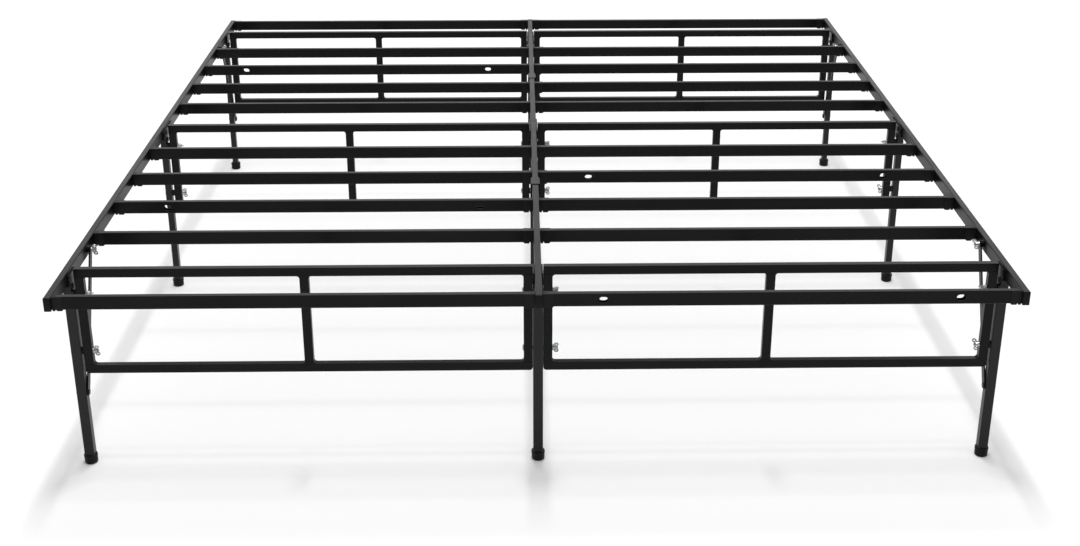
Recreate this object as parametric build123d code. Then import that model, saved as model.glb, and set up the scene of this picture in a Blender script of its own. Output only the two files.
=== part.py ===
"""King-size folding metal platform bed frame.

Three long rails carry cross slats that clip in between them. Three rows of legs stand under
the rails, and each row is tied across by two welded tube panels bolted to the legs with wing
nuts. The front and rear rows hang on rivets below the rails and fold inwards for storage, and
a flat stay at each corner braces them. Millimetres, +Z up, +Y towards the rear, origin on the
floor at the middle of the frame.
"""
import os
from math import atan2, degrees, hypot

from build123d import *

# Overall size
overall_width = 1930.0      # over the outer faces of the two side rails
overall_length = 2032.0     # over the end plugs of the rails
frame_height = 457.0        # floor to the top of the slats

# Rails: rectangular steel tube on edge
rail_width = 14.0
rail_height = 29.0
rail_wall = 1.2
rail_corner = 2.0
plug_thickness = 3.0        # plastic plug closing each rail end
plug_depth = 16.0
plug_edge = 0.8             # rounding round the plug's face
middle_joint_y = 18.0       # butt joint between front and rear halves
joint_gap = 1.0
sleeve_length = 110.0       # inner sleeve that bridges the butt joint
socket_mouths = (-426.0, 390.0)   # where the centre rail plugs together
socket_width = 22.0
socket_drop = 3.5           # the socket hangs this far below the rail
socket_length = 35.0
socket_taper = 14.0
socket_overlap = 28.0       # length of the spigot inside a socket
socket_gap = 12.0           # bare spigot in front of a socket

# Slats: rectangular tube on edge, with a moulded clip on each end
slat_depth = 12.7
slat_height = 28.0
slat_wall = 1.0
slat_corner = 1.6
slat_pitch = 173.0          # inner slats stand at whole pitches from the middle
inner_slats = 4
edge_slat_y = 1003.0        # first and last slat
slot_length = 18.0
slot_width = 13.0
slot_from_end = 120.0       # slot centre to the inner face of the rail
slotted_slats = ((-1, 2), (-1, 7), (1, 0), (1, 3))   # bay side, and slat counted from the front
clip_length = 22.0
clip_drop = 2.2             # clip below the underside of the slat
clip_skin = 0.8             # clip stands this far proud of the slat tube
clip_hook = 6.0             # width of the hook that rests against the rail
clip_notch = 3.6            # gap between the hook and the clip body
clip_plug = 16.0            # plug inside the slat, from the notch
clip_rise = 6.0             # slope at the foot of the hook
clip_lead = 1.6
clip_notch_depth = 4.5
clip_toe = 2.5
nub_radius = 1.9
nub_proud = 0.8             # the nub on each side of the hook
nub_drop = 8.4              # nub below the top of the slat

# Legs and their feet
leg_row_y = 875.0           # front and rear rows from the middle
front_leg_width = 21.0
rear_leg_width = 16.5       # middle and rear rows
leg_depth = 20.0
leg_wall = 1.5
leg_corner = 2.5
foot_radius = 14.5
foot_height = 20.0
foot_sole = 4.0
foot_edge = 2.5             # rounding under the foot
foot_rim_edge = 0.8         # rounding round the cup's mouth

# Hinge plates and rivets under the rails
pivot_drop = 10.0           # rivet axis below the rail
plate_thickness = 3.2
plate_ear_radius = 9.0
plate_length = 60.0
plate_top_length = 46.0
plate_height = 21.0         # part of the plate that lies on the rail
middle_plate_length = 107.0
middle_plate_y = 10.5
splice_rivet_steps = (-37.5, -15.5, 23.5, 37.5)   # from the middle of the long plate
rivet_radius = 3.5
rivet_head_radius = 6.0
rivet_head = 1.6
rivet_head_edge = 0.9
flush_head = 0.4            # rivets of the centre rail, which the panels pass closely
flush_head_edge = 0.2

# Welded cross panels
panel_height = 239.0
panel_tube = 19.0           # tube width in the plane of the panel
panel_depth = 12.7
panel_wall = 1.0
panel_inner_fillet = 6.0
panel_outer_fillet = 7.0
panel_gap = 4.0             # between a front side leg and the panel beside it
centre_gap = 0.3            # between the front centre leg and the panels beside it
plate_gap = 0.2             # between the centre rail's rivet heads and the panels beside them
panel_bolt_spread = 132.0   # between the upper and lower bolts
panel_bolt_centre = 116.0   # mid-height of the bolt pair above the panel's lower edge

# Fasteners
bolt_radius = 3.0
bolt_head_radius = 6.5
bolt_head = 2.8
bolt_head_round = 2.2
flat_head = 1.2             # bolts whose heads lie on the outside of a leg or rail
flat_head_round = 0.9
nut_base_radius = 6.2
nut_top_radius = 4.6
nut_height = 8.5
wing_reach = 14.0
wing_rise = 13.5
wing_thickness = 2.6
wing_root = 1.5             # the wings start this far above the nut's seat
wing_depth = 6.5            # height of a wing at its outer end
wing_cut = 2.5              # corners taken off the outer end
wing_dip = 6.0              # the wings' upper edge turns down this far in from the end
wing_dip_drop = 1.0
wing_merge = 1.1            # how far the wings run into the body
wing_edge = 1.6
wing_window_radius = 1.9
wing_window_inset = 4.9
wing_window_drop = 5.4
spacer_radius = 8.0
thinnest_spacer = 0.5       # a smaller gap is left open
bolt_tail = 3.0             # thread that shows past a wing nut
wing_turns = ((15.0, 55.0, 20.0), (65.0, 105.0, 95.0))   # tightened angles: left, right, centre
stay_wing_turns = (15.0, 65.0)   # left, right
button_radius = 6.0         # button that holds a stay against its leg
button_height = 1.8
button_round = 1.3

# Stays
stay_width = 16.0
stay_thickness = 3.0
stay_foot_z = 170.0         # lower hole, on the leg
stay_head_z = 440.0         # upper hole, on the rail
stay_run = 129.0            # from the leg axis to the upper hole, along the rail
boss_radius = 6.5           # round boss on the rail behind the upper end

# Clearances
running_clearance = 0.05    # a turning hole over its rivet or bolt
side_clearance = 0.3        # between parts that slide past each other
fit_clearance = 0.15        # plugs and sleeves inside their tubes

# Derived places
rail_x = overall_width / 2 - rail_width / 2
rail_bottom = frame_height - rail_height
rail_centre_z = frame_height - rail_height / 2
pivot_z = rail_bottom - pivot_drop
bay_inner = rail_width / 2
bay_outer = rail_x - rail_width / 2
bay_centre = (bay_inner + bay_outer) / 2
bay_length = bay_outer - bay_inner
plate_face = rail_width / 2 + plate_thickness
tongue_width = rail_width - 2 * side_clearance
shoulder_drop = plate_ear_radius + 2 * side_clearance
panel_inner_x = max(front_leg_width / 2 + centre_gap, plate_face + flush_head + plate_gap)
panel_outer_x = rail_x - front_leg_width / 2 - panel_gap
panel_bottom = frame_height - panel_height
panel_bolt_middle = panel_bottom + panel_bolt_centre
panel_bolt_z = (panel_bolt_middle - panel_bolt_spread / 2, panel_bolt_middle + panel_bolt_spread / 2)
stay_outer_x = rail_x - front_leg_width / 2 - side_clearance
stay_inner_x = stay_outer_x - stay_thickness
rail_xs = {"left": -rail_x, "centre": 0.0, "right": rail_x}
row_ys = {"front": -leg_row_y, "middle": 0.0, "rear": leg_row_y}


def save(node, *solids):
    """Write one node, as a single solid or as a group of separate ones."""
    shape = solids[0] if len(solids) == 1 else Compound(children=list(solids))
    export_step(shape, f"parts/{node}.step")


def bar(x0, x1, y0, y1, z0, z1):
    """A plain block between two corners."""
    middle = Pos((x0 + x1) / 2, (y0 + y1) / 2, (z0 + z1) / 2)
    return middle * Box(abs(x1 - x0), abs(y1 - y0), abs(z1 - z0))


def rounded_bar(block, axis, radius):
    """The block with its four long edges rounded."""
    return fillet(block.edges().filter_by(axis), radius)


def rod(x0, x1, y, z, radius):
    """A round bar along X."""
    return Pos((x0 + x1) / 2, y, z) * Rot(0, 90, 0) * Cylinder(radius, abs(x1 - x0))


def rail_bore(x, y0, y1):
    """The hollow inside a rail."""
    half = rail_width / 2 - rail_wall
    return bar(x - half, x + half, y0, y1, rail_bottom + rail_wall, frame_height - rail_wall)


def rail_tube(x, y0, y1):
    """Hollow rail from y0 to y1, centred on x."""
    half = rail_width / 2
    outer = bar(x - half, x + half, y0, y1, rail_bottom, frame_height)
    return rounded_bar(outer, Axis.Y, rail_corner) - rail_bore(x, y0, y1)


def cross_section(x, y, z):
    """Upright plane across the rails, for a rail or slot outline."""
    return Plane(origin=(x, y, z), x_dir=(1, 0, 0), z_dir=(0, 1, 0))


def rail_socket(x, mouth):
    """Swaged mouth that a rail spigot plugs into, opening towards the front."""
    half = socket_width / 2
    low = rail_bottom - socket_drop
    back = mouth + socket_length
    body = rounded_bar(bar(x - half, x + half, mouth, back, low, frame_height), Axis.Y, rail_corner)
    wide = RectangleRounded(socket_width, frame_height - low, rail_corner)
    narrow = RectangleRounded(rail_width, rail_height, rail_corner)
    cone = loft([
        cross_section(x, back, (low + frame_height) / 2) * wide,
        cross_section(x, back + socket_taper, rail_centre_z) * narrow,
    ])
    bore_half = rail_width / 2 + fit_clearance
    bore_end = mouth + socket_overlap + fit_clearance
    floor = rail_bottom - fit_clearance
    bore = bar(x - bore_half, x + bore_half, mouth, bore_end, floor, frame_height - rail_wall)
    return body + cone - bore - rail_bore(x, mouth, back + socket_taper)


def socket_spigot(x, mouth):
    """Reduced end of a rail section, which enters the next section's socket."""
    half = rail_width / 2
    start = mouth - socket_gap
    end = mouth + socket_overlap
    floor = rail_bottom + rail_wall
    roof = frame_height - rail_wall - fit_clearance
    outer = bar(x - half, x + half, start, end, rail_bottom, roof)
    inner = bar(x - half + rail_wall, x + half - rail_wall, start, end, floor, roof - rail_wall)
    return outer - inner


def side_rail(x, y0, y1, stay_y):
    """One half of a side rail, with the boss for its stay and the splice rivet holes."""
    side = 1 if x > 0 else -1
    inner_face = x - side * rail_width / 2
    boss_end = side * (stay_outer_x + side_clearance)
    boss = rod(inner_face, boss_end, stay_y, stay_head_z, boss_radius)
    bore = rod(x - rail_width, x + rail_width, stay_y, stay_head_z, bolt_radius)
    return rail_tube(x, y0, y1) + boss - bore - middle_plate_holes(x)


def make_rails():
    """Two-piece side rails and a four-piece centre rail."""
    end = overall_length / 2 - plug_thickness
    front_end = middle_joint_y - joint_gap / 2
    rear_end = middle_joint_y + joint_gap / 2
    stay_y = leg_row_y - stay_run
    for side, x in (("left", -rail_x), ("right", rail_x)):
        save(f"{side}_front_rail", side_rail(x, -end, front_end, -stay_y))
        save(f"{side}_rear_rail", side_rail(x, rear_end, end, stay_y))
    front_mouth, rear_mouth = socket_mouths
    socket_end = socket_length + socket_taper
    holes = middle_plate_holes(0)
    front = rail_tube(0, -end, front_mouth - socket_gap) + socket_spigot(0, front_mouth)
    save("centre_rail_front", front)
    middle_front = rail_socket(0, front_mouth) + rail_tube(0, front_mouth + socket_end, front_end)
    save("centre_rail_middle_front", middle_front - holes)
    middle_rear = rail_tube(0, rear_end, rear_mouth - socket_gap) + socket_spigot(0, rear_mouth)
    save("centre_rail_middle_rear", middle_rear - holes)
    rear = rail_socket(0, rear_mouth) + rail_tube(0, rear_mouth + socket_end, end)
    save("centre_rail_rear", rear)


def middle_bolt_places():
    """Y and Z of the rivets that hold the middle plates to both rail halves."""
    return [(middle_plate_y + step, rail_bottom + plate_height / 2) for step in splice_rivet_steps]


def middle_plate_holes(x):
    """Bores through a rail for the rivets of the middle plates."""
    bores = [rod(x - rail_width, x + rail_width, y, z, rivet_radius) for y, z in middle_bolt_places()]
    return Compound(children=bores)


def make_rail_plugs():
    """Moulded plugs in both ends of each rail."""
    plugs = []
    half = rail_width / 2
    core = half - rail_wall - fit_clearance
    for x in rail_xs.values():
        for end in (-1, 1):
            outer = end * overall_length / 2
            seat = outer - end * plug_thickness
            face = bar(x - half, x + half, outer, seat, rail_bottom, frame_height)
            face = rounded_bar(face, Axis.Y, rail_corner)
            rim = face.faces().sort_by(Axis.Y)[0 if end < 0 else -1].edges()
            face = fillet(rim, plug_edge)
            stem = bar(x - core, x + core, seat, seat - end * plug_depth,
                       rail_bottom + rail_wall + fit_clearance, frame_height - rail_wall - fit_clearance)
            plugs.append(face + stem)
    save("rail_end_plugs", *plugs)


def make_joint_sleeves():
    """Inner sleeves that line up the two halves of each rail at the middle joint."""
    sleeves = []
    gap = rail_wall + fit_clearance
    for x in rail_xs.values():
        half = rail_width / 2 - gap
        y0 = middle_joint_y - sleeve_length / 2
        y1 = middle_joint_y + sleeve_length / 2
        outer = bar(x - half, x + half, y0, y1, rail_bottom + gap, frame_height - gap)
        inner = bar(x - half + rail_wall, x + half - rail_wall, y0, y1,
                    rail_bottom + gap + rail_wall, frame_height - gap - rail_wall)
        sleeves.append(outer - inner - middle_plate_holes(x))
    save("middle_joint_sleeves", *sleeves)


def plate_outline(length, top_length, offset):
    """Side view of a hinge plate: a trapezoid on the rail with a round ear for the rivet."""
    low = pivot_drop
    high = pivot_drop + plate_height
    corners = [
        (offset - length / 2, low), (offset - top_length / 2, high),
        (offset + top_length / 2, high), (offset + length / 2, low),
    ]
    trapezoid = make_face(Polyline(*corners, close=True))
    neck = Pos(0, high / 2) * Rectangle(2 * plate_ear_radius, high)
    return trapezoid + Circle(plate_ear_radius) + neck


def hinge_plate(x, y, side, length, top_length, offset=0.0):
    """One plate against the side of a rail, with its rivet hole."""
    start = x + side * rail_width / 2
    plane = Plane(origin=(start, y, pivot_z), x_dir=(0, 1, 0), z_dir=(1, 0, 0))
    plate = extrude(plane * plate_outline(length, top_length, offset), side * plate_thickness)
    return plate - rod(x - rail_width, x + rail_width, y, pivot_z, rivet_radius)


def make_hinge_plates():
    """Pairs of plates under every leg; the middle pairs also splice the rail halves."""
    ends = []
    splices = []
    for x in rail_xs.values():
        for side in (-1, 1):
            for y in (-leg_row_y, leg_row_y):
                ends.append(hinge_plate(x, y, side, plate_length, plate_top_length))
            long_top = middle_plate_length - (plate_length - plate_top_length)
            splice = hinge_plate(x, 0, side, middle_plate_length, long_top, middle_plate_y)
            splices.append(splice - middle_plate_holes(x))
    save("leg_hinge_plates", *ends)
    save("middle_splice_plates", *splices)


def outer_rim(disc, side):
    """The circular edge of a disc along X that faces the given way."""
    rims = disc.edges().filter_by(GeomType.CIRCLE).sort_by(Axis.X)
    return rims[-1] if side > 0 else rims[0]


def headed_rivet(x, y, z, reach):
    """A rivet along X with a round head at each end, flush on the centre rail."""
    height, edge = (rivet_head, rivet_head_edge) if x else (flush_head, flush_head_edge)
    rivet = rod(x - reach, x + reach, y, z, rivet_radius)
    for side in (-1, 1):
        head = rod(x + side * reach, x + side * (reach + height), y, z, rivet_head_radius)
        rivet += fillet(outer_rim(head, side), edge)
    return rivet


def make_rivets():
    """Hinge rivets of the nine legs, and the splice rivets at the middle joint."""
    pivots = [headed_rivet(x, y, pivot_z, plate_face) for x in rail_xs.values() for y in row_ys.values()]
    splices = [headed_rivet(x, y, z, plate_face) for x in rail_xs.values() for y, z in middle_bolt_places()]
    save("leg_pivot_rivets", *pivots)
    save("middle_splice_rivets", *splices)


def leg_tube(x, y, width, top):
    """The square tube of a leg, closed at the top."""
    half = width / 2
    deep = leg_depth / 2
    tube = rounded_bar(bar(x - half, x + half, y - deep, y + deep, foot_sole, top), Axis.Z, leg_corner)
    inner_half = half - leg_wall
    inner_deep = deep - leg_wall
    hollow = bar(x - inner_half, x + inner_half, y - inner_deep, y + inner_deep, foot_sole, top - leg_wall)
    return tube - hollow


def leg(x, y, width, has_stay):
    """A leg tube with the tongue that hangs between its hinge plates."""
    top = pivot_z - shoulder_drop
    half_tongue = tongue_width / 2
    tongue_radius = pivot_drop - side_clearance
    tongue = rod(x - half_tongue, x + half_tongue, y, pivot_z, tongue_radius)
    front = y - tongue_radius
    back = y + tongue_radius
    stem = bar(x - half_tongue, x + half_tongue, front, back, top - leg_wall, pivot_z)
    pivot = rod(x - width, x + width, y, pivot_z, rivet_radius + running_clearance)
    body = leg_tube(x, y, width, top) + tongue + stem - pivot
    bolt_heights = panel_bolt_z + ((stay_foot_z,) if has_stay else ())
    for z in bolt_heights:
        body -= rod(x - width, x + width, y, z, bolt_radius)
    return body


def leg_width(row):
    """Outside width of the leg tube in a row."""
    return front_leg_width if row == "front" else rear_leg_width


def make_legs():
    """Nine leg tubes and their moulded feet."""
    for row, y in row_ys.items():
        feet = []
        for side, x in rail_xs.items():
            has_stay = side != "centre" and row != "middle"
            save(f"{row}_{side}_leg", leg(x, y, leg_width(row), has_stay))
            feet.append(foot(x, y, leg_width(row)))
        save(f"{row}_foot_caps", *feet)


def foot(x, y, width):
    """A round moulded cup over the end of a leg."""
    cup = Pos(x, y, foot_height / 2) * Cylinder(foot_radius, foot_height)
    cup = fillet(cup.edges().filter_by(GeomType.CIRCLE).sort_by(Axis.Z)[0], foot_edge)
    cup = fillet(cup.edges().filter_by(GeomType.CIRCLE).sort_by(Axis.Z)[-1], foot_rim_edge)
    half = width / 2
    deep = leg_depth / 2
    pocket = bar(x - half, x + half, y - deep, y + deep, foot_sole, foot_height)
    return cup - rounded_bar(pocket, Axis.Z, leg_corner)


def panel(inner_x, outer_x, y):
    """Welded tube frame with a centre upright, seen in the XZ plane."""
    low_x, high_x = sorted((inner_x, outer_x))
    middle = (low_x + high_x) / 2
    face = bar(low_x, high_x, y - panel_depth / 2, y + panel_depth / 2, panel_bottom, frame_height)
    frame = fillet(face.edges().filter_by(Axis.Y).group_by(Axis.Z)[0], panel_outer_fillet)
    window_low = panel_bottom + panel_tube
    window_high = frame_height - panel_tube
    left_window = (low_x + panel_tube, middle - panel_tube / 2)
    right_window = (middle + panel_tube / 2, high_x - panel_tube)
    for x0, x1 in (left_window, right_window):
        window = bar(x0, x1, y - panel_depth, y + panel_depth, window_low, window_high)
        frame -= rounded_bar(window, Axis.Y, panel_inner_fillet)
    frame -= panel_hollows(low_x, high_x, middle, y)
    for z in panel_bolt_z:
        frame -= rod(low_x - 1, low_x + panel_tube + 1, y, z, bolt_radius)
        frame -= rod(high_x - panel_tube - 1, high_x + 1, y, z, bolt_radius)
    return frame


def panel_hollows(low_x, high_x, middle, y):
    """The inside of the panel's tubes, joined up where the tubes meet."""
    y0 = y - panel_depth / 2 + panel_wall
    y1 = y + panel_depth / 2 - panel_wall
    tube = panel_tube - 2 * panel_wall
    bottom = panel_bottom + panel_wall
    top = frame_height - panel_wall
    clear = panel_outer_fillet
    hollow = bar(low_x + clear, high_x - clear, y0, y1, bottom, bottom + tube)
    hollow += bar(low_x + panel_wall, high_x - panel_wall, y0, y1, top - tube, top)
    for x0 in (low_x + panel_wall, middle - tube / 2, high_x - panel_wall - tube):
        hollow += bar(x0, x0 + tube, y0, y1, bottom + clear, top)
    return hollow


def make_panels():
    """Two panels in each row of legs."""
    for row, y in row_ys.items():
        save(f"{row}_left_panel", panel(-panel_inner_x, -panel_outer_x, y))
        save(f"{row}_right_panel", panel(panel_inner_x, panel_outer_x, y))


def dome_head(x, outward, y, z, radius, height, edge):
    """Round head standing on a face at x."""
    head = rod(x, x + outward * height, y, z, radius)
    return fillet(outer_rim(head, outward), edge)


def bolt(head_x, tail_x, y, z, height=flat_head, edge=flat_head_round):
    """Round-headed bolt along X, from under its head to the end of its thread."""
    outward = 1 if head_x > tail_x else -1
    shank = rod(head_x, tail_x, y, z, bolt_radius)
    return shank + dome_head(head_x, outward, y, z, bolt_head_radius, height, edge)


def wing():
    """One wing of a wing nut, on the +X side of a nut that stands along Z."""
    outline = [
        (0, wing_root),
        (nut_base_radius - wing_merge, wing_root),
        (wing_reach - wing_cut, wing_rise - wing_depth),
        (wing_reach, wing_rise - wing_cut),
        (wing_reach - wing_cut, wing_rise),
        (wing_reach - wing_dip, wing_rise - wing_dip_drop),
        (nut_top_radius - wing_merge, nut_height),
        (0, nut_height),
    ]
    blade = extrude(Plane.XZ * make_face(Polyline(*outline, close=True)), wing_thickness / 2, both=True)
    outer_edges = blade.edges().filter_by(Axis.Y).filter_by(lambda edge: edge.center().X > nut_top_radius)
    blade = fillet(outer_edges, wing_edge)
    window = Rot(90, 0, 0) * Cylinder(wing_window_radius, wing_thickness * 2)
    return blade - Pos(wing_reach - wing_window_inset, 0, wing_rise - wing_window_drop) * window


def wing_nut(seat_x, away, y, z, turn, bore):
    """Wing nut on a face at seat_x, pointing along X in the direction away."""
    seat = (Align.CENTER, Align.CENTER, Align.MIN)
    base = Cone(nut_base_radius, nut_top_radius, nut_height, align=seat)
    hole = Cylinder(bore, nut_height * 4)
    nut = base + wing() + Rot(0, 0, 180) * wing() - hole
    return Pos(seat_x, y, z) * Rot(0, 90 * away, 0) * Rot(0, 0, turn) * nut


def outer_fasteners(y, z, side, half, turn):
    """Bolt and wing nut where a panel meets a side leg, and the spacers at both its ends."""
    nut_face = side * (panel_outer_x - panel_tube)
    tail = nut_face - side * (nut_height + bolt_tail)
    held = bolt(side * (rail_x + half), tail, y, z)
    nut = wing_nut(nut_face, -side, y, z, turn, bolt_radius)
    spacers = [spacer(side * (rail_x - half), side * panel_outer_x, y, z)]
    if panel_inner_x - half > thinnest_spacer:
        spacers.append(spacer(side * half, side * panel_inner_x, y, z))
    return held, nut, spacers


def make_panel_fasteners():
    """Bolts, spacers and wing nuts that hold each row's panels to its legs."""
    for row, y in row_ys.items():
        half = leg_width(row) / 2
        bolts = []
        nuts = []
        spacers = []
        for z, turns in zip(panel_bolt_z, wing_turns):
            for side, turn in zip((-1, 1), turns):
                held, nut, rings = outer_fasteners(y, z, side, half, turn)
                bolts.append(held)
                nuts.append(nut)
                spacers += rings
            nut_face = panel_inner_x + panel_tube
            tail = nut_face + nut_height + bolt_tail
            bolts.append(bolt(-nut_face, tail, y, z, bolt_head, bolt_head_round))
            nuts.append(wing_nut(nut_face, 1, y, z, turns[-1], bolt_radius))
        if row != "middle":
            for side in (-1, 1):
                bolts.append(bolt(side * (rail_x + half), side * (rail_x - half), y, stay_foot_z))
        save(f"{row}_leg_bolts", *bolts)
        save(f"{row}_panel_wing_nuts", *nuts)
        save(f"{row}_panel_spacers", *spacers)


def spacer(x0, x1, y, z):
    """Round spacer between a leg and a panel."""
    return rod(x0, x1, y, z, spacer_radius) - rod(x0, x1, y, z, bolt_radius)


def stay(side, row):
    """Flat bar with round ends, from the leg up to the rail."""
    y_foot = row * leg_row_y
    y_head = row * (leg_row_y - stay_run)
    rise = stay_head_z - stay_foot_z
    lean = degrees(atan2(row * stay_run, rise))
    outline = SlotCenterToCenter(hypot(stay_run, rise), stay_width)
    side_view = Plane(origin=(0, 0, 0), x_dir=(0, 0, 1), z_dir=(1, 0, 0))
    blank = extrude(side_view * outline, stay_thickness / 2, both=True)
    middle_x = side * (stay_outer_x + stay_inner_x) / 2
    middle = Pos(middle_x, (y_foot + y_head) / 2, (stay_foot_z + stay_head_z) / 2)
    low = middle_x - stay_thickness
    high = middle_x + stay_thickness
    foot_hole = rod(low, high, y_foot, stay_foot_z, bolt_radius)
    head_hole = rod(low, high, y_head, stay_head_z, bolt_radius + running_clearance)
    return middle * Rot(lean, 0, 0) * blank - foot_hole - head_hole


def stay_stud(side, row):
    """Button and stub that stay with the stay when it is taken off its leg."""
    y = row * leg_row_y
    stub = rod(side * stay_outer_x, side * stay_inner_x, y, stay_foot_z, bolt_radius)
    button = dome_head(side * stay_inner_x, -side, y, stay_foot_z, button_radius, button_height, button_round)
    return stub + button


def make_stays():
    """Four corner stays with their bolts and wing nuts."""
    rail_bolts = []
    for row_name, row in (("front", -1), ("rear", 1)):
        studs = []
        y_head = row * (leg_row_y - stay_run)
        for side_name, side, turn in (("left", -1, stay_wing_turns[0]), ("right", 1, stay_wing_turns[1])):
            save(f"{row_name}_{side_name}_stay", stay(side, row))
            studs.append(stay_stud(side, row))
            seat = side * (stay_inner_x - side_clearance)
            nut = wing_nut(seat, -side, y_head, stay_head_z, turn, bolt_radius + running_clearance)
            save(f"{row_name}_{side_name}_stay_wing_nut", nut)
            tail = seat - side * (nut_height + bolt_tail)
            rail_bolts.append(bolt(side * (rail_x + rail_width / 2), tail, y_head, stay_head_z))
        save(f"{row_name}_stay_studs", *studs)
    save("stay_rail_bolts", *rail_bolts)


def slat_places():
    """Y of the ten slats, front to rear."""
    inner = [step * slat_pitch for step in range(1, inner_slats + 1)]
    return [-edge_slat_y] + [-y for y in reversed(inner)] + inner + [edge_slat_y]


def slat(bay, y, slotted):
    """One slat tube between its two clips."""
    centre = bay * bay_centre
    reach = bay_length / 2 - clip_hook - clip_notch
    half = slat_depth / 2
    low = frame_height - slat_height
    outer = bar(centre - reach, centre + reach, y - half, y + half, low, frame_height)
    inner_half = half - slat_wall
    roof = frame_height - slat_wall
    inner = bar(centre - reach, centre + reach, y - inner_half, y + inner_half, low + slat_wall, roof)
    tube = rounded_bar(outer, Axis.X, slat_corner) - inner
    if slotted:
        for end in (-1, 1):
            x = centre + end * (bay_length / 2 - slot_from_end)
            face = cross_section(x, y, frame_height - slat_height / 2)
            tube -= extrude(face * SlotOverall(slot_length, slot_width), slat_depth, both=True)
    return tube


def clip_profile():
    """Side view of an end clip, measured from the rail face along the slat."""
    low = frame_height - slat_height - clip_drop
    body = clip_hook + clip_notch
    return [
        (0, low + clip_rise),
        (clip_lead, low),
        (clip_hook, low),
        (clip_hook + clip_notch / 2, low + clip_notch_depth),
        (body, low),
        (clip_length - clip_toe, low),
        (clip_length, low + clip_toe),
        (clip_length, frame_height),
        (0, frame_height),
    ]


def clip(wall, inward, y):
    """Moulded end clip: a sleeve over the slat end, and a hook against the rail."""
    half = slat_depth / 2
    half_body = half + clip_skin
    side_view = Plane(origin=(wall, y, 0), x_dir=(inward, 0, 0), z_dir=(0, -inward, 0))
    body = extrude(side_view * make_face(Polyline(*clip_profile(), close=True)), half_body, both=True)
    slat_end = wall + inward * (clip_hook + clip_notch)
    tip = wall + inward * (clip_length + 1)
    body -= bar(slat_end, tip, y - half, y + half, frame_height - slat_height, frame_height + 1)
    core = half - slat_wall - fit_clearance
    floor = frame_height - slat_height + slat_wall + fit_clearance
    roof = frame_height - slat_wall - fit_clearance
    plug = bar(slat_end - inward, slat_end + inward * clip_plug, y - core, y + core, floor, roof)
    nub = Rot(90, 0, 0) * Cylinder(nub_radius, 2 * (half_body + nub_proud))
    return body + plug + Pos(wall + inward * clip_hook / 2, y, frame_height - nub_drop) * nub


def make_slats():
    """Ten rows of slats in two bays, and their clips."""
    names = ["edge", "outer", "outer", "inner", "inner"]
    groups = [f"front_{name}_slats" for name in names] + [f"rear_{name}_slats" for name in reversed(names)]
    slats = {group: [] for group in groups}
    clips = {"front": [], "rear": []}
    for index, (group, y) in enumerate(zip(groups, slat_places())):
        slats[group] += [slat(bay, y, (bay, index) in slotted_slats) for bay in (-1, 1)]
        half = "front" if y < 0 else "rear"
        for bay in (-1, 1):
            clips[half].append(clip(bay * bay_inner, bay, y))
            clips[half].append(clip(bay * bay_outer, -bay, y))
    for group, tubes in slats.items():
        save(group, *tubes)
    for half, moulded in clips.items():
        save(f"{half}_slat_clips", *moulded)


os.makedirs("parts", exist_ok=True)
make_rails()
make_rail_plugs()
make_joint_sleeves()
make_hinge_plates()
make_rivets()
make_legs()
make_panels()
make_panel_fasteners()
make_stays()
make_slats()
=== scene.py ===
"""Looks of a king-size folding metal platform bed frame, put together on its CAD frame.

The tube-steel parts keep their CAD shapes and get a satin black powder coat. Weld beads, rail
plugs, wing nuts and foot cups are made here in the order in which the bed goes together.
"""
import math

import bmesh
import bpy
from mathutils import Matrix, Vector


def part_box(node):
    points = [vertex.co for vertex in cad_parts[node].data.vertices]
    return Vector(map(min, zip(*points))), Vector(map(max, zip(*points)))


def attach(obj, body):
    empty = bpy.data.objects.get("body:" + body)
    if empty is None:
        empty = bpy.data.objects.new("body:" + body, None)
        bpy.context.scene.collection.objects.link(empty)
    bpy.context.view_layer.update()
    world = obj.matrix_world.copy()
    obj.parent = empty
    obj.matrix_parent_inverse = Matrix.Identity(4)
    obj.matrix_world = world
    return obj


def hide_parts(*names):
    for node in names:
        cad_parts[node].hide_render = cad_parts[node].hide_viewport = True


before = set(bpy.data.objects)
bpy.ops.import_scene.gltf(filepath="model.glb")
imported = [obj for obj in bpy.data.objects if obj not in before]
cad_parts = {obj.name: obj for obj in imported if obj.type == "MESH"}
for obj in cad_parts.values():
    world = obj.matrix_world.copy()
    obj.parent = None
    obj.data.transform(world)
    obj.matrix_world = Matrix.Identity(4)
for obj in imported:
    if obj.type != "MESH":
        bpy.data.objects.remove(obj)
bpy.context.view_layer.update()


# ---------------------------------------------------------------------------------------------
# Rails, slats, cross panels and hinge plates. Thin-walled steel tube and plate, welded and then
# powder coated satin black. The coating has a fine orange peel, thins to a slightly greyer film
# in places, and holds a trace of dust where it faces up. The legs' coat is a little shinier, and
# its colour is painted lighter as a painted reflection of the floor's light on the legs. Their
# CAD shapes stay and get the coat.

MM = 0.001
coat_black = (0.0022, 0.0022, 0.0024, 1.0)
coat_grey = (0.0052, 0.0052, 0.0055, 1.0)
# Leg colours: lighter than the rest of the coat, a painted reflection of the floor's light on the legs.
leg_black_painted_lighter = (0.0065, 0.0065, 0.0068, 1.0)
leg_grey_painted_lighter = (0.012, 0.012, 0.0125, 1.0)
dust_colour = (0.16, 0.16, 0.158, 1.0)
coated_nodes = [
    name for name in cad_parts
    if name.endswith(("_rail", "_slats", "_leg", "_panel", "_plates", "_stay", "_sleeves"))
    or name.startswith("centre_rail")
]


def add_node(tree, kind, **values):
    """A new node, with its inputs set by name; an underscore stands for a space."""
    made = tree.nodes.new(kind)
    for name, value in values.items():
        made.inputs[name.replace("_", " ")].default_value = value
    return made


def set_range(tree, source, low, high, to_low, to_high):
    """A map of a value from one range to another, clamped."""
    made = add_node(tree, "ShaderNodeMapRange", From_Min=low, From_Max=high, To_Min=to_low, To_Max=to_high)
    tree.links.new(source, made.inputs["Value"])
    return made.outputs["Result"]


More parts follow.
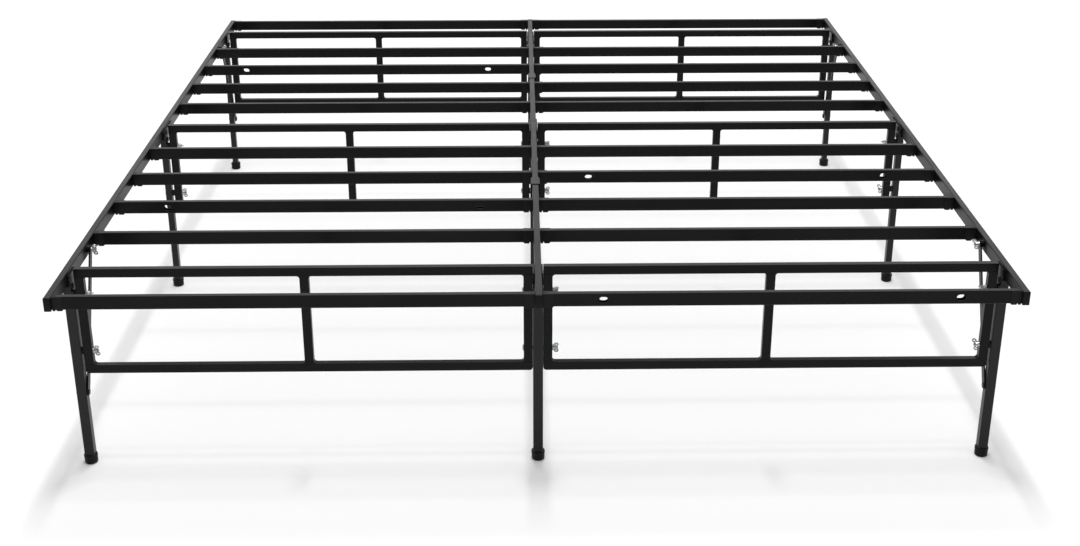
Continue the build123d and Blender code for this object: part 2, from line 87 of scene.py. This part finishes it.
def blend_colours(tree, factor, first, second):
    """A mix of two colours; each is a colour or an output."""
    made = tree.nodes.new("ShaderNodeMix")
    made.data_type = "RGBA"
    tree.links.new(factor, made.inputs["Factor"])
    # Inputs 6 and 7 are this node's two colours, and output 2 is the mixed colour.
    for socket, value in ((made.inputs[6], first), (made.inputs[7], second)):
        if isinstance(value, tuple):
            socket.default_value = value
        else:
            tree.links.new(value, socket)
    return made.outputs[2]


def combine(tree, operation, first, second):
    """Arithmetic on two values; each is a number or an output."""
    made = tree.nodes.new("ShaderNodeMath")
    made.operation = operation
    for socket, value in zip(made.inputs, (first, second)):
        if isinstance(value, float):
            socket.default_value = value
        else:
            tree.links.new(value, socket)
    return made.outputs["Value"]


def start_group(name, inputs, outputs):
    """A shader node group with a Vector input, named number inputs and number outputs."""
    group = bpy.data.node_groups.new(name, "ShaderNodeTree")
    group.interface.new_socket("Vector", in_out="INPUT", socket_type="NodeSocketVector")
    for label, value in inputs.items():
        socket = group.interface.new_socket(label, in_out="INPUT", socket_type="NodeSocketFloat")
        socket.default_value = value
    for label in outputs:
        group.interface.new_socket(label, in_out="OUTPUT", socket_type="NodeSocketFloat")
    return group, group.nodes.new("NodeGroupInput"), group.nodes.new("NodeGroupOutput")


def noise(tree, vector, scale, detail=2.0, roughness=0.5):
    """Noise at a scale, which is a number or an output."""
    made = add_node(tree, "ShaderNodeTexNoise", Detail=detail, Roughness=roughness)
    tree.links.new(vector, made.inputs["Vector"])
    if isinstance(scale, float):
        made.inputs["Scale"].default_value = scale
    else:
        tree.links.new(scale, made.inputs["Scale"])
    return made.outputs["Fac"]


def make_skin_group():
    """Surface relief and slow variation of a sprayed or moulded skin."""
    group, given, out = start_group(
        "skin_relief",
        {"Peel Scale": 620.0, "Grain Scale": 3200.0, "Grain Share": 0.3, "Mottle Scale": 7.0},
        ("Height", "Mottle"),
    )
    peel = noise(group, given.outputs["Vector"], given.outputs["Peel Scale"], 1.0)
    grain = noise(group, given.outputs["Vector"], given.outputs["Grain Scale"], 2.0)
    share = given.outputs["Grain Share"]
    fine = combine(group, "MULTIPLY", grain, share)
    coarse = combine(group, "MULTIPLY", peel, combine(group, "SUBTRACT", 1.0, share))
    mottle = noise(group, given.outputs["Vector"], given.outputs["Mottle Scale"], 4.0, 0.6)
    group.links.new(combine(group, "ADD", fine, coarse), out.inputs["Height"])
    group.links.new(set_range(group, mottle, 0.3, 0.7, 0.0, 1.0), out.inputs["Mottle"])
    return group


def make_dust_group():
    """Dust that settles in patches on faces that look up."""
    group, given, out = start_group("settled_dust", {"Amount": 0.2, "Patch Scale": 30.0}, ("Mask",))
    facing = group.nodes.new("ShaderNodeNewGeometry")
    split = group.nodes.new("ShaderNodeSeparateXYZ")
    group.links.new(facing.outputs["Normal"], split.inputs["Vector"])
    upward = set_range(group, split.outputs["Z"], 0.55, 0.98, 0.0, 1.0)
    patches = noise(group, given.outputs["Vector"], given.outputs["Patch Scale"], 6.0, 0.7)
    specks = set_range(group, patches, 0.42, 0.75, 0.15, 1.0)
    lying = combine(group, "MULTIPLY", upward, specks)
    group.links.new(combine(group, "MULTIPLY", lying, given.outputs["Amount"]), out.inputs["Mask"])
    return group


skin_relief = make_skin_group()
settled_dust = make_dust_group()


def use_group(tree, group, vector, **values):
    """A node that places a group in a material, with its own values."""
    made = tree.nodes.new("ShaderNodeGroup")
    made.node_tree = group
    tree.links.new(vector, made.inputs["Vector"])
    for name, value in values.items():
        made.inputs[name.replace("_", " ")].default_value = value
    return made


def start_material(name):
    """A material with its shader and the object coordinates it reads."""
    material = bpy.data.materials.new(name)
    material.use_nodes = True
    tree = material.node_tree
    shader = tree.nodes["Principled BSDF"]
    place = tree.nodes.new("ShaderNodeTexCoord").outputs["Object"]
    return material, tree, shader, place


def set_bump(tree, shader, height, strength, distance):
    """A bump from a height output to the shader's normal."""
    bump = add_node(tree, "ShaderNodeBump", Strength=strength, Distance=distance)
    tree.links.new(height, bump.inputs["Height"])
    tree.links.new(bump.outputs["Normal"], shader.inputs["Normal"])


def powder_coat(name, dark, light, smooth, rough, dust, shine=0.13):
    """Satin powder coat: orange peel, uneven film and settled dust."""
    material, tree, shader, place = start_material(name)
    skin = use_group(tree, skin_relief, place, Peel_Scale=620.0, Grain_Scale=3200.0, Grain_Share=0.25,
                     Mottle_Scale=7.0)
    lying = use_group(tree, settled_dust, place, Amount=dust, Patch_Scale=45.0).outputs["Mask"]
    film = blend_colours(tree, skin.outputs["Mottle"], dark, light)
    tree.links.new(blend_colours(tree, lying, film, dust_colour), shader.inputs["Base Color"])
    sheen = set_range(tree, skin.outputs["Mottle"], 0.0, 1.0, smooth, rough)
    tree.links.new(combine(tree, "ADD", sheen, lying), shader.inputs["Roughness"])
    set_bump(tree, shader, skin.outputs["Height"], 0.16, 0.0004)
    shader.inputs["Specular IOR Level"].default_value = shine
    return material


def dress(name, material):
    """Gives a CAD node's every slot the one material."""
    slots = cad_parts[name].data.materials
    for index in range(len(slots)):
        slots[index] = material
    if not len(slots):
        slots.append(material)


satin_coat = powder_coat("satin_black_powder_coat", coat_black, coat_grey, 0.27, 0.36, 0.05)
# The legs' copy of the coat is painted lighter, standing in for the floor's light reflected on them.
leg_coat_painted_lighter = powder_coat("leg_powder_coat_painted_lighter", leg_black_painted_lighter, leg_grey_painted_lighter, 0.3, 0.42, 0.05, shine=0.24)
for coated in coated_nodes:
    dress(coated, leg_coat_painted_lighter if coated.endswith("_leg") else satin_coat)


# ---------------------------------------------------------------------------------------------
# Weld beads. The hinge plates are welded to the rails along their upper edges, and the panels'
# tubes are welded where they meet. Each bead is a row of small overlapping ripples of steel,
# laid by hand before the coating went on, so it has the same black skin, a little rougher.

bead_width = 2.6 * MM
bead_proud = 0.9 * MM
ripple_step = 1.3 * MM
weld_inset = 9 * MM


def islands(name):
    """Corner points of each separate solid in a CAD node, ordered by their middles."""
    mesh = bmesh.new()
    mesh.from_mesh(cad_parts[name].data)
    bmesh.ops.remove_doubles(mesh, verts=mesh.verts, dist=1e-6)
    waiting = set(mesh.verts)
    found = []
    while waiting:
        reached = [waiting.pop()]
        solid = []
        while reached:
            vert = reached.pop()
            solid.append(vert.co.copy())
            for edge in vert.link_edges:
                other = edge.other_vert(vert)
                if other in waiting:
                    waiting.remove(other)
                    reached.append(other)
        found.append(solid)
    mesh.free()
    return sorted(found, key=lambda points: tuple(round(v, 4) for v in middle(points)))


def corners(points):
    """Lowest and highest corners of some points."""
    low = Vector(min(p[axis] for p in points) for axis in range(3))
    high = Vector(max(p[axis] for p in points) for axis in range(3))
    return low, high


def middle(points):
    """Centre of the box round some points."""
    low, high = corners(points)
    return (low + high) / 2


def finish_piece(name, mesh, material, body, slot, *stands_for):
    """Turns a bmesh into a piece with a material, riding on a body."""
    bmesh.ops.recalc_face_normals(mesh, faces=mesh.faces)
    data = bpy.data.meshes.new(name)
    mesh.to_mesh(data)
    mesh.free()
    data.materials.append(material)
    data.shade_smooth()
    data.set_sharp_from_angle(angle=math.radians(40))
    piece = bpy.data.objects.new(name, data)
    bpy.context.scene.collection.objects.link(piece)
    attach(piece, body)
    if stands_for:
        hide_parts(*stands_for)
    return piece


def weld_bead(mesh, start, end, outward):
    """A row of ripples from start to end on a face that looks outward."""
    run = end - start
    steps = max(2, round(run.length / ripple_step))
    along = run.normalized()
    across = along.cross(outward).normalized()
    turn = Matrix((along, across, outward)).transposed().to_4x4()
    size = Matrix.Diagonal((ripple_step * 0.95, bead_width / 2, bead_proud, 1.0))
    for step in range(steps + 1):
        place = Matrix.Translation(start + run * (step / steps))
        bmesh.ops.create_icosphere(mesh, subdivisions=1, radius=1.0, matrix=place @ turn @ size)


weld_coat = powder_coat("black_coat_over_weld", coat_black, coat_grey, 0.34, 0.46, 0.08)
plate_welds = bmesh.new()
rail_boxes = [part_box(rail) for rail in ("left_front_rail", "centre_rail_front", "right_front_rail")]
for plate in islands("leg_hinge_plates"):
    low, high = corners(plate)
    rail_x = min(((box[0][0] + box[1][0]) / 2 for box in rail_boxes), key=lambda x: abs(x - middle(plate).x))
    edge_x = high.x if middle(plate).x < rail_x else low.x
    start = Vector((edge_x, low.y + weld_inset, high.z))
    end = Vector((edge_x, high.y - weld_inset, high.z))
    weld_bead(plate_welds, start, end, Vector((0.0, 0.0, 1.0)))
finish_piece("hinge_plate_welds", plate_welds, weld_coat, "frame", "black_steel")

panel_bodies = {"front": "front_leg_row", "middle": "frame", "rear": "rear_leg_row"}
panel_tube = 19 * MM
bead_reach = panel_tube / 2 - 2.5 * MM


def weld_panel_joints(mesh, low, high):
    """Beads across each joint of an upright with a long tube, on both faces of a panel."""
    uprights = (low.x + panel_tube / 2, (low.x + high.x) / 2, high.x - panel_tube / 2)
    for face_y, outward in ((low.y, -1.0), (high.y, 1.0)):
        for z in (low.z + panel_tube, high.z - panel_tube):
            for x in uprights:
                start = Vector((x - bead_reach, face_y, z))
                weld_bead(mesh, start, Vector((x + bead_reach, face_y, z)), Vector((0.0, outward, 0.0)))


for row, body in panel_bodies.items():
    welds = bmesh.new()
    for side in ("left", "right"):
        low, high = (Vector(corner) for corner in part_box(f"{row}_{side}_panel"))
        weld_panel_joints(welds, low, high)
    finish_piece(f"{row}_panel_welds", welds, weld_coat, body, "black_steel")


# ---------------------------------------------------------------------------------------------
# Rail end plugs. Black moulded plastic, pushed into the open ends of the rails. The outer face is
# rounded at its edges and carries the small round mark that the mould's gate leaves.

plug_black = (0.0012, 0.0012, 0.0013, 1.0)
plastic_black = (0.003, 0.003, 0.0032, 1.0)
plastic_grey = (0.007, 0.007, 0.0072, 1.0)


def moulded_plastic(name, dark, light, smooth, rough, grain):
    """Injection-moulded plastic with a fine spark-eroded grain."""
    material, tree, shader, place = start_material(name)
    skin = use_group(tree, skin_relief, place, Peel_Scale=1500.0, Grain_Scale=5200.0, Grain_Share=0.6,
                     Mottle_Scale=60.0)
    lying = use_group(tree, settled_dust, place, Amount=0.03, Patch_Scale=160.0).outputs["Mask"]
    film = blend_colours(tree, skin.outputs["Mottle"], dark, light)
    tree.links.new(blend_colours(tree, lying, film, dust_colour), shader.inputs["Base Color"])
    sheen = set_range(tree, skin.outputs["Mottle"], 0.0, 1.0, smooth, rough)
    tree.links.new(combine(tree, "ADD", sheen, lying), shader.inputs["Roughness"])
    set_bump(tree, shader, skin.outputs["Height"], grain, 0.0003)
    shader.inputs["Specular IOR Level"].default_value = 0.16
    return material


def rounded_block(mesh, low, high, radius, segments=3):
    """A block between two corners with all its edges rounded; gives back its points."""
    before = set(mesh.verts)
    place = Matrix.Translation((low + high) / 2) @ Matrix.Diagonal((*(high - low), 1.0))
    made = bmesh.ops.create_cube(mesh, size=1.0, matrix=place)["verts"]
    edges = list({edge for vert in made for edge in vert.link_edges})
    bmesh.ops.bevel(mesh, geom=edges, offset=radius, segments=segments, affect="EDGES", profile=0.5,
                    material=-1)
    return [vert for vert in mesh.verts if vert not in before]


def turned(mesh, profile, steps=32):
    """A round shape from (radius, height) points in millimetres, turned about Z; gives back its points."""
    before = set(mesh.verts)
    verts = [mesh.verts.new((radius, 0.0, height)) for radius, height in profile]
    edges = [mesh.edges.new(pair) for pair in zip(verts, verts[1:])]
    bmesh.ops.spin(mesh, geom=verts + edges, cent=(0, 0, 0), axis=(0, 0, 1), angle=math.tau, steps=steps,
                   use_merge=True)
    fresh = [vert for vert in mesh.verts if vert not in before]
    bmesh.ops.remove_doubles(mesh, verts=fresh, dist=1e-4)
    return [vert for vert in mesh.verts if vert not in before]


plug_face = 3 * MM
plug_stem = 14 * MM
stem_play = 1.6 * MM
gate_proud = 0.3 * MM
gate_height = 0.5 * MM
face_edge = 1.1 * MM
stem_edge = 0.5 * MM
gate_profile = [(0.0, 0.0), (2.2, 0.0), (2.2, 0.2), (1.9, 0.5), (0.9, 0.5), (0.7, 0.3), (0.0, 0.3)]
plug_plastic = moulded_plastic("plug_plastic", plug_black, plastic_black, 0.42, 0.52, 0.3)
plug_mesh = bmesh.new()
for plug in islands("rail_end_plugs"):
    low, high = corners(plug)
    outward = -1 if low.y < 0 else 1
    outer_y = low.y if outward < 0 else high.y
    front_y = outer_y - outward * gate_proud
    seat_y = outer_y - outward * plug_face
    stem_y = seat_y - outward * plug_stem
    rounded_block(plug_mesh, Vector((low.x, min(front_y, seat_y), low.z)),
                  Vector((high.x, max(front_y, seat_y), high.z)), face_edge)
    rounded_block(plug_mesh, Vector((low.x + stem_play, min(seat_y, stem_y), low.z + stem_play)),
                  Vector((high.x - stem_play, max(seat_y, stem_y), high.z - stem_play)), stem_edge, 2)
    gate = turned(plug_mesh, gate_profile, steps=24)
    face = Matrix.Translation((middle(plug).x, outer_y - outward * gate_height, middle(plug).z))
    face = face @ Matrix.Rotation(math.radians(-90 * outward), 4, "X") @ Matrix.Scale(MM, 4)
    bmesh.ops.transform(plug_mesh, matrix=face, verts=gate)
finish_piece("moulded_rail_plugs", plug_mesh, plug_plastic, "frame", "black_plastic", "rail_end_plugs")

clip_plastic = moulded_plastic("clip_plastic", plastic_black, plastic_grey, 0.44, 0.55, 0.3)
for group in ("front_slat_clips", "rear_slat_clips"):
    dress(group, clip_plastic)


# ---------------------------------------------------------------------------------------------
# Rivets, stay buttons and spacers. The rivets are blackened steel, set cold, with round heads, and
# so are the buttons at the stays' feet. The spacers between legs and panels are moulded rings.

oxide_black = (0.008, 0.008, 0.0085, 1.0)
oxide_worn = (0.03, 0.03, 0.031, 1.0)


def black_oxide(name):
    """Blackened steel, part metal, part oil film, rubbed on its high places."""
    material, tree, shader, place = start_material(name)
    skin = use_group(tree, skin_relief, place, Peel_Scale=2400.0, Grain_Scale=6000.0, Grain_Share=0.5,
                     Mottle_Scale=140.0)
    film = blend_colours(tree, skin.outputs["Mottle"], oxide_black, oxide_worn)
    tree.links.new(film, shader.inputs["Base Color"])
    tree.links.new(set_range(tree, skin.outputs["Mottle"], 0.0, 1.0, 0.28, 0.45), shader.inputs["Roughness"])
    shader.inputs["Metallic"].default_value = 0.6
    set_bump(tree, shader, skin.outputs["Height"], 0.12, 0.0002)
    return material


blackened = black_oxide("blackened_steel")
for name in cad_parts:
    if name.endswith(("_rivets", "_studs")):
        dress(name, blackened)
    if name.endswith("_spacers"):
        dress(name, clip_plastic)


# ---------------------------------------------------------------------------------------------
# Bolts. Zinc-plated carriage bolts that hold the panels and the stays. Their heads lie on the
# outside, and the rolled thread shows where the tail comes out of its wing nut.

zinc_light = (0.52, 0.53, 0.55, 1.0)
zinc_dull = (0.24, 0.25, 0.27, 1.0)


def make_thread_group():
    """Ridges of a rolled thread along X, kept off the faces that look along the bolt."""
    group, given, out = start_group("rolled_thread", {"Ridges Per Metre": 1000.0}, ("Height",))
    split = group.nodes.new("ShaderNodeSeparateXYZ")
    group.links.new(given.outputs["Vector"], split.inputs["Vector"])
    turns = combine(group, "MULTIPLY", split.outputs["X"], given.outputs["Ridges Per Metre"])
    ridge = combine(group, "SINE", combine(group, "MULTIPLY", turns, math.tau), 0.0)
    facing = group.nodes.new("ShaderNodeNewGeometry")
    normal = group.nodes.new("ShaderNodeSeparateXYZ")
    group.links.new(facing.outputs["Normal"], normal.inputs["Vector"])
    ends = combine(group, "ABSOLUTE", normal.outputs["X"], 0.0)
    sides = set_range(group, ends, 0.2, 0.5, 1.0, 0.0)
    group.links.new(combine(group, "MULTIPLY", ridge, sides), out.inputs["Height"])
    return group


rolled_thread = make_thread_group()


def zinc_plate(name, threaded=False):
    """Bright zinc with dull patches, over a cast surface or a rolled thread."""
    material, tree, shader, place = start_material(name)
    skin = use_group(tree, skin_relief, place, Peel_Scale=1800.0, Grain_Scale=5200.0, Grain_Share=0.4,
                     Mottle_Scale=160.0)
    film = blend_colours(tree, skin.outputs["Mottle"], zinc_light, zinc_dull)
    tree.links.new(film, shader.inputs["Base Color"])
    tree.links.new(set_range(tree, skin.outputs["Mottle"], 0.0, 1.0, 0.2, 0.42), shader.inputs["Roughness"])
    shader.inputs["Metallic"].default_value = 1.0
    if threaded:
        thread = use_group(tree, rolled_thread, place, Ridges_Per_Metre=1000.0)
        set_bump(tree, shader, thread.outputs["Height"], 0.7, 0.0003)
    else:
        set_bump(tree, shader, skin.outputs["Height"], 0.25, 0.0002)
    return material


threaded_zinc = zinc_plate("threaded_zinc", threaded=True)
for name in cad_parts:
    if name.endswith("_bolts"):
        dress(name, threaded_zinc)


# ---------------------------------------------------------------------------------------------
# Wing nuts. Zinc-plated castings: a round body that spreads to its seat, and two flat wings, each
# with an eye through it.

bright_zinc = zinc_plate("bright_zinc_plate")
nut_profile = [
    (3.1, 0.0), (5.9, 0.0), (6.2, 0.4), (6.2, 1.3), (5.6, 2.2), (5.0, 4.5), (4.7, 7.6), (4.2, 8.5),
    (3.6, 8.5), (3.1, 8.0), (3.1, 0.0),
]
eye_profile = [
    (2.0, -0.9), (2.4, -1.3), (4.4, -1.2), (4.9, -0.6), (4.9, 0.6), (4.4, 1.2), (2.4, 1.3), (2.0, 0.9),
    (2.0, -0.9),
]
eye_reach = 9.1
eye_rise = 8.3
root_reach = 5.4
root_rise = 4.4
root_corner = Vector((3.2, 1.25, 2.6))
root_lean = 48
tip_share = 0.97            # points this far out belong to the tips of the wings


def cast_wing(mesh, side):
    """One wing: a thick eye on a root that slants out from the body."""
    eye = turned(mesh, eye_profile, steps=24)
    lay = Matrix.Translation((side * eye_reach, 0.0, eye_rise)) @ Matrix.Rotation(math.radians(90), 4, "X")
    bmesh.ops.transform(mesh, matrix=lay, verts=eye)
    root = rounded_block(mesh, -root_corner, root_corner, 0.5, 2)
    lean = Matrix.Rotation(side * math.radians(-root_lean), 4, "Y")
    slant = Matrix.Translation((side * root_reach, 0.0, root_rise)) @ lean
    bmesh.ops.transform(mesh, matrix=slant, verts=root)


def wing_turn(points, axis):
    """Angle of the line through a nut's two wings, about X; either wing may come first."""
    reach = max(math.hypot(p.y - axis.y, p.z - axis.z) for p in points)
    tips = [p for p in points if math.hypot(p.y - axis.y, p.z - axis.z) > tip_share * reach]
    doubled = [2 * math.atan2(p.z - axis.z, p.y - axis.y) for p in tips]
    return math.atan2(sum(map(math.sin, doubled)), sum(map(math.cos, doubled))) / 2


def wing_nut(mesh, points, seat_x, away):
    """A wing nut on its bolt along X, turned as its CAD solid is."""
    axis = middle(points)
    turn = wing_turn(points, axis)
    lie = Matrix(((0, 0, away, 0), (1, 0, 0, 0), (0, away, 0, 0), (0, 0, 0, 1)))
    place = Matrix.Translation((seat_x, axis.y, axis.z)) @ Matrix.Rotation(turn, 4, "X") @ lie
    before = set(mesh.verts)
    turned(mesh, nut_profile)
    for side in (-1, 1):
        cast_wing(mesh, side)
    fresh = [vert for vert in mesh.verts if vert not in before]
    bmesh.ops.transform(mesh, matrix=place @ Matrix.Scale(MM, 4), verts=fresh)


seat_depth = 0.5 * MM
widest_seat = 8 * MM


def nuts_of(node, name, body):
    """Wing nuts in place of a CAD node's plain ones, each seated on its end without wings."""
    mesh = bmesh.new()
    for points in islands(node):
        low, high = corners(points)
        axis = middle(points)
        low_end = [p for p in points if p.x < low.x + seat_depth]
        reach = max(math.hypot(p.y - axis.y, p.z - axis.z) for p in low_end)
        away = 1 if reach < widest_seat else -1
        wing_nut(mesh, points, low.x if away > 0 else high.x, away)
    finish_piece(name, mesh, bright_zinc, body, "zinc", node)


for row, body in panel_bodies.items():
    nuts_of(f"{row}_panel_wing_nuts", f"{row}_cast_wing_nuts", body)
for row in ("front", "rear"):
    for side in ("left", "right"):
        nuts_of(f"{row}_{side}_stay_wing_nut", f"{row}_{side}_cast_stay_nut", f"{row}_{side}_stay_nut")


# ---------------------------------------------------------------------------------------------
# Foot cups. Black moulded plastic cups pushed over the leg ends.

foot_plastic = moulded_plastic("foot_plastic", plastic_black, plastic_grey, 0.38, 0.5, 0.35)
foot_profile = [
    (0.0, 0.0), (10.8, 0.0), (12.4, 0.5), (13.5, 1.5), (13.9, 3.0), (13.9, 12.6), (13.6, 13.1), (13.6, 13.7),
    (14.0, 14.2), (14.5, 14.6), (14.5, 18.8), (14.2, 19.6), (13.6, 20.0), (0.0, 20.0),
]
for row, body in panel_bodies.items():
    cups = bmesh.new()
    for points in islands(f"{row}_foot_caps"):
        centre = middle(points)
        cup = turned(cups, foot_profile, steps=48)
        place = Matrix.Translation((centre.x, centre.y, 0.0)) @ Matrix.Scale(MM, 4)
        bmesh.ops.transform(cups, matrix=place, verts=cup)
    finish_piece(f"{row}_foot_cups", cups, foot_plastic, body, "black_plastic", f"{row}_foot_caps")


# ---------------------------------------------------------------------------------------------
# Studio: pale floor, an overhead soft light, a soft wall of light behind, and a weak fill.

floor_mesh = bmesh.new()
bmesh.ops.create_grid(floor_mesh, x_segments=1, y_segments=1, size=14.0)
floor_data = bpy.data.meshes.new("studio_floor")
floor_mesh.to_mesh(floor_data)
floor_mesh.free()
floor = bpy.data.objects.new("studio_floor", floor_data)
bpy.context.scene.collection.objects.link(floor)
pale, _, pale_shader, _ = start_material("pale_floor")
pale_shader.inputs["Base Color"].default_value = (0.9, 0.9, 0.9, 1.0)
pale_shader.inputs["Roughness"].default_value = 0.8
pale_shader.inputs["Specular IOR Level"].default_value = 0.1
floor_data.materials.append(pale)


def soft_light(name, width, depth, watts, place, target):
    """A rectangular soft light at a place, facing a target."""
    data = bpy.data.lights.new(name, "AREA")
    data.shape = "RECTANGLE"
    data.size = width
    data.size_y = depth
    data.energy = watts
    light = bpy.data.objects.new(name, data)
    bpy.context.scene.collection.objects.link(light)
    light.location = place
    aim = Vector(target) - Vector(place)
    light.rotation_euler = aim.to_track_quat("-Z", "Y").to_euler()
    return light


overhead = soft_light("overhead_light", 0.8, 3.6, 430.0, (0.0, -0.1, 8.0), (0.0, -0.1, 0.0))
overhead.rotation_euler = (0.0, 0.0, 0.0)
soft_light("back_light", 8.0, 2.6, 75.0, (0.0, 5.0, 2.6), (0.0, 0.0, 0.4))
world = bpy.data.worlds.new("studio_air")
world.use_nodes = True
world.node_tree.nodes["Background"].inputs["Color"].default_value = (1.0, 1.0, 1.0, 1.0)
world.node_tree.nodes["Background"].inputs["Strength"].default_value = 0.53
bpy.context.scene.world = world
bpy.context.scene.view_settings.view_transform = "Standard"


# ---------------------------------------------------------------------------------------------
# Camera. It stands in front of the frame's middle, above the slats, and looks down over them
# towards the rear.

camera_place = (-0.0367, -3.594, 1.717)
camera_pitch = 21.8
camera_turn = 0.86
camera_data = bpy.data.cameras.new("camera")
camera_data.sensor_width = 36.0
camera_data.lens = 48.9
camera_data.shift_y = -0.08
camera = bpy.data.objects.new("camera", camera_data)
bpy.context.scene.collection.objects.link(camera)
camera.location = camera_place
camera.rotation_euler = (math.radians(90 - camera_pitch), 0.0, math.radians(-camera_turn))
bpy.context.scene.camera = camera
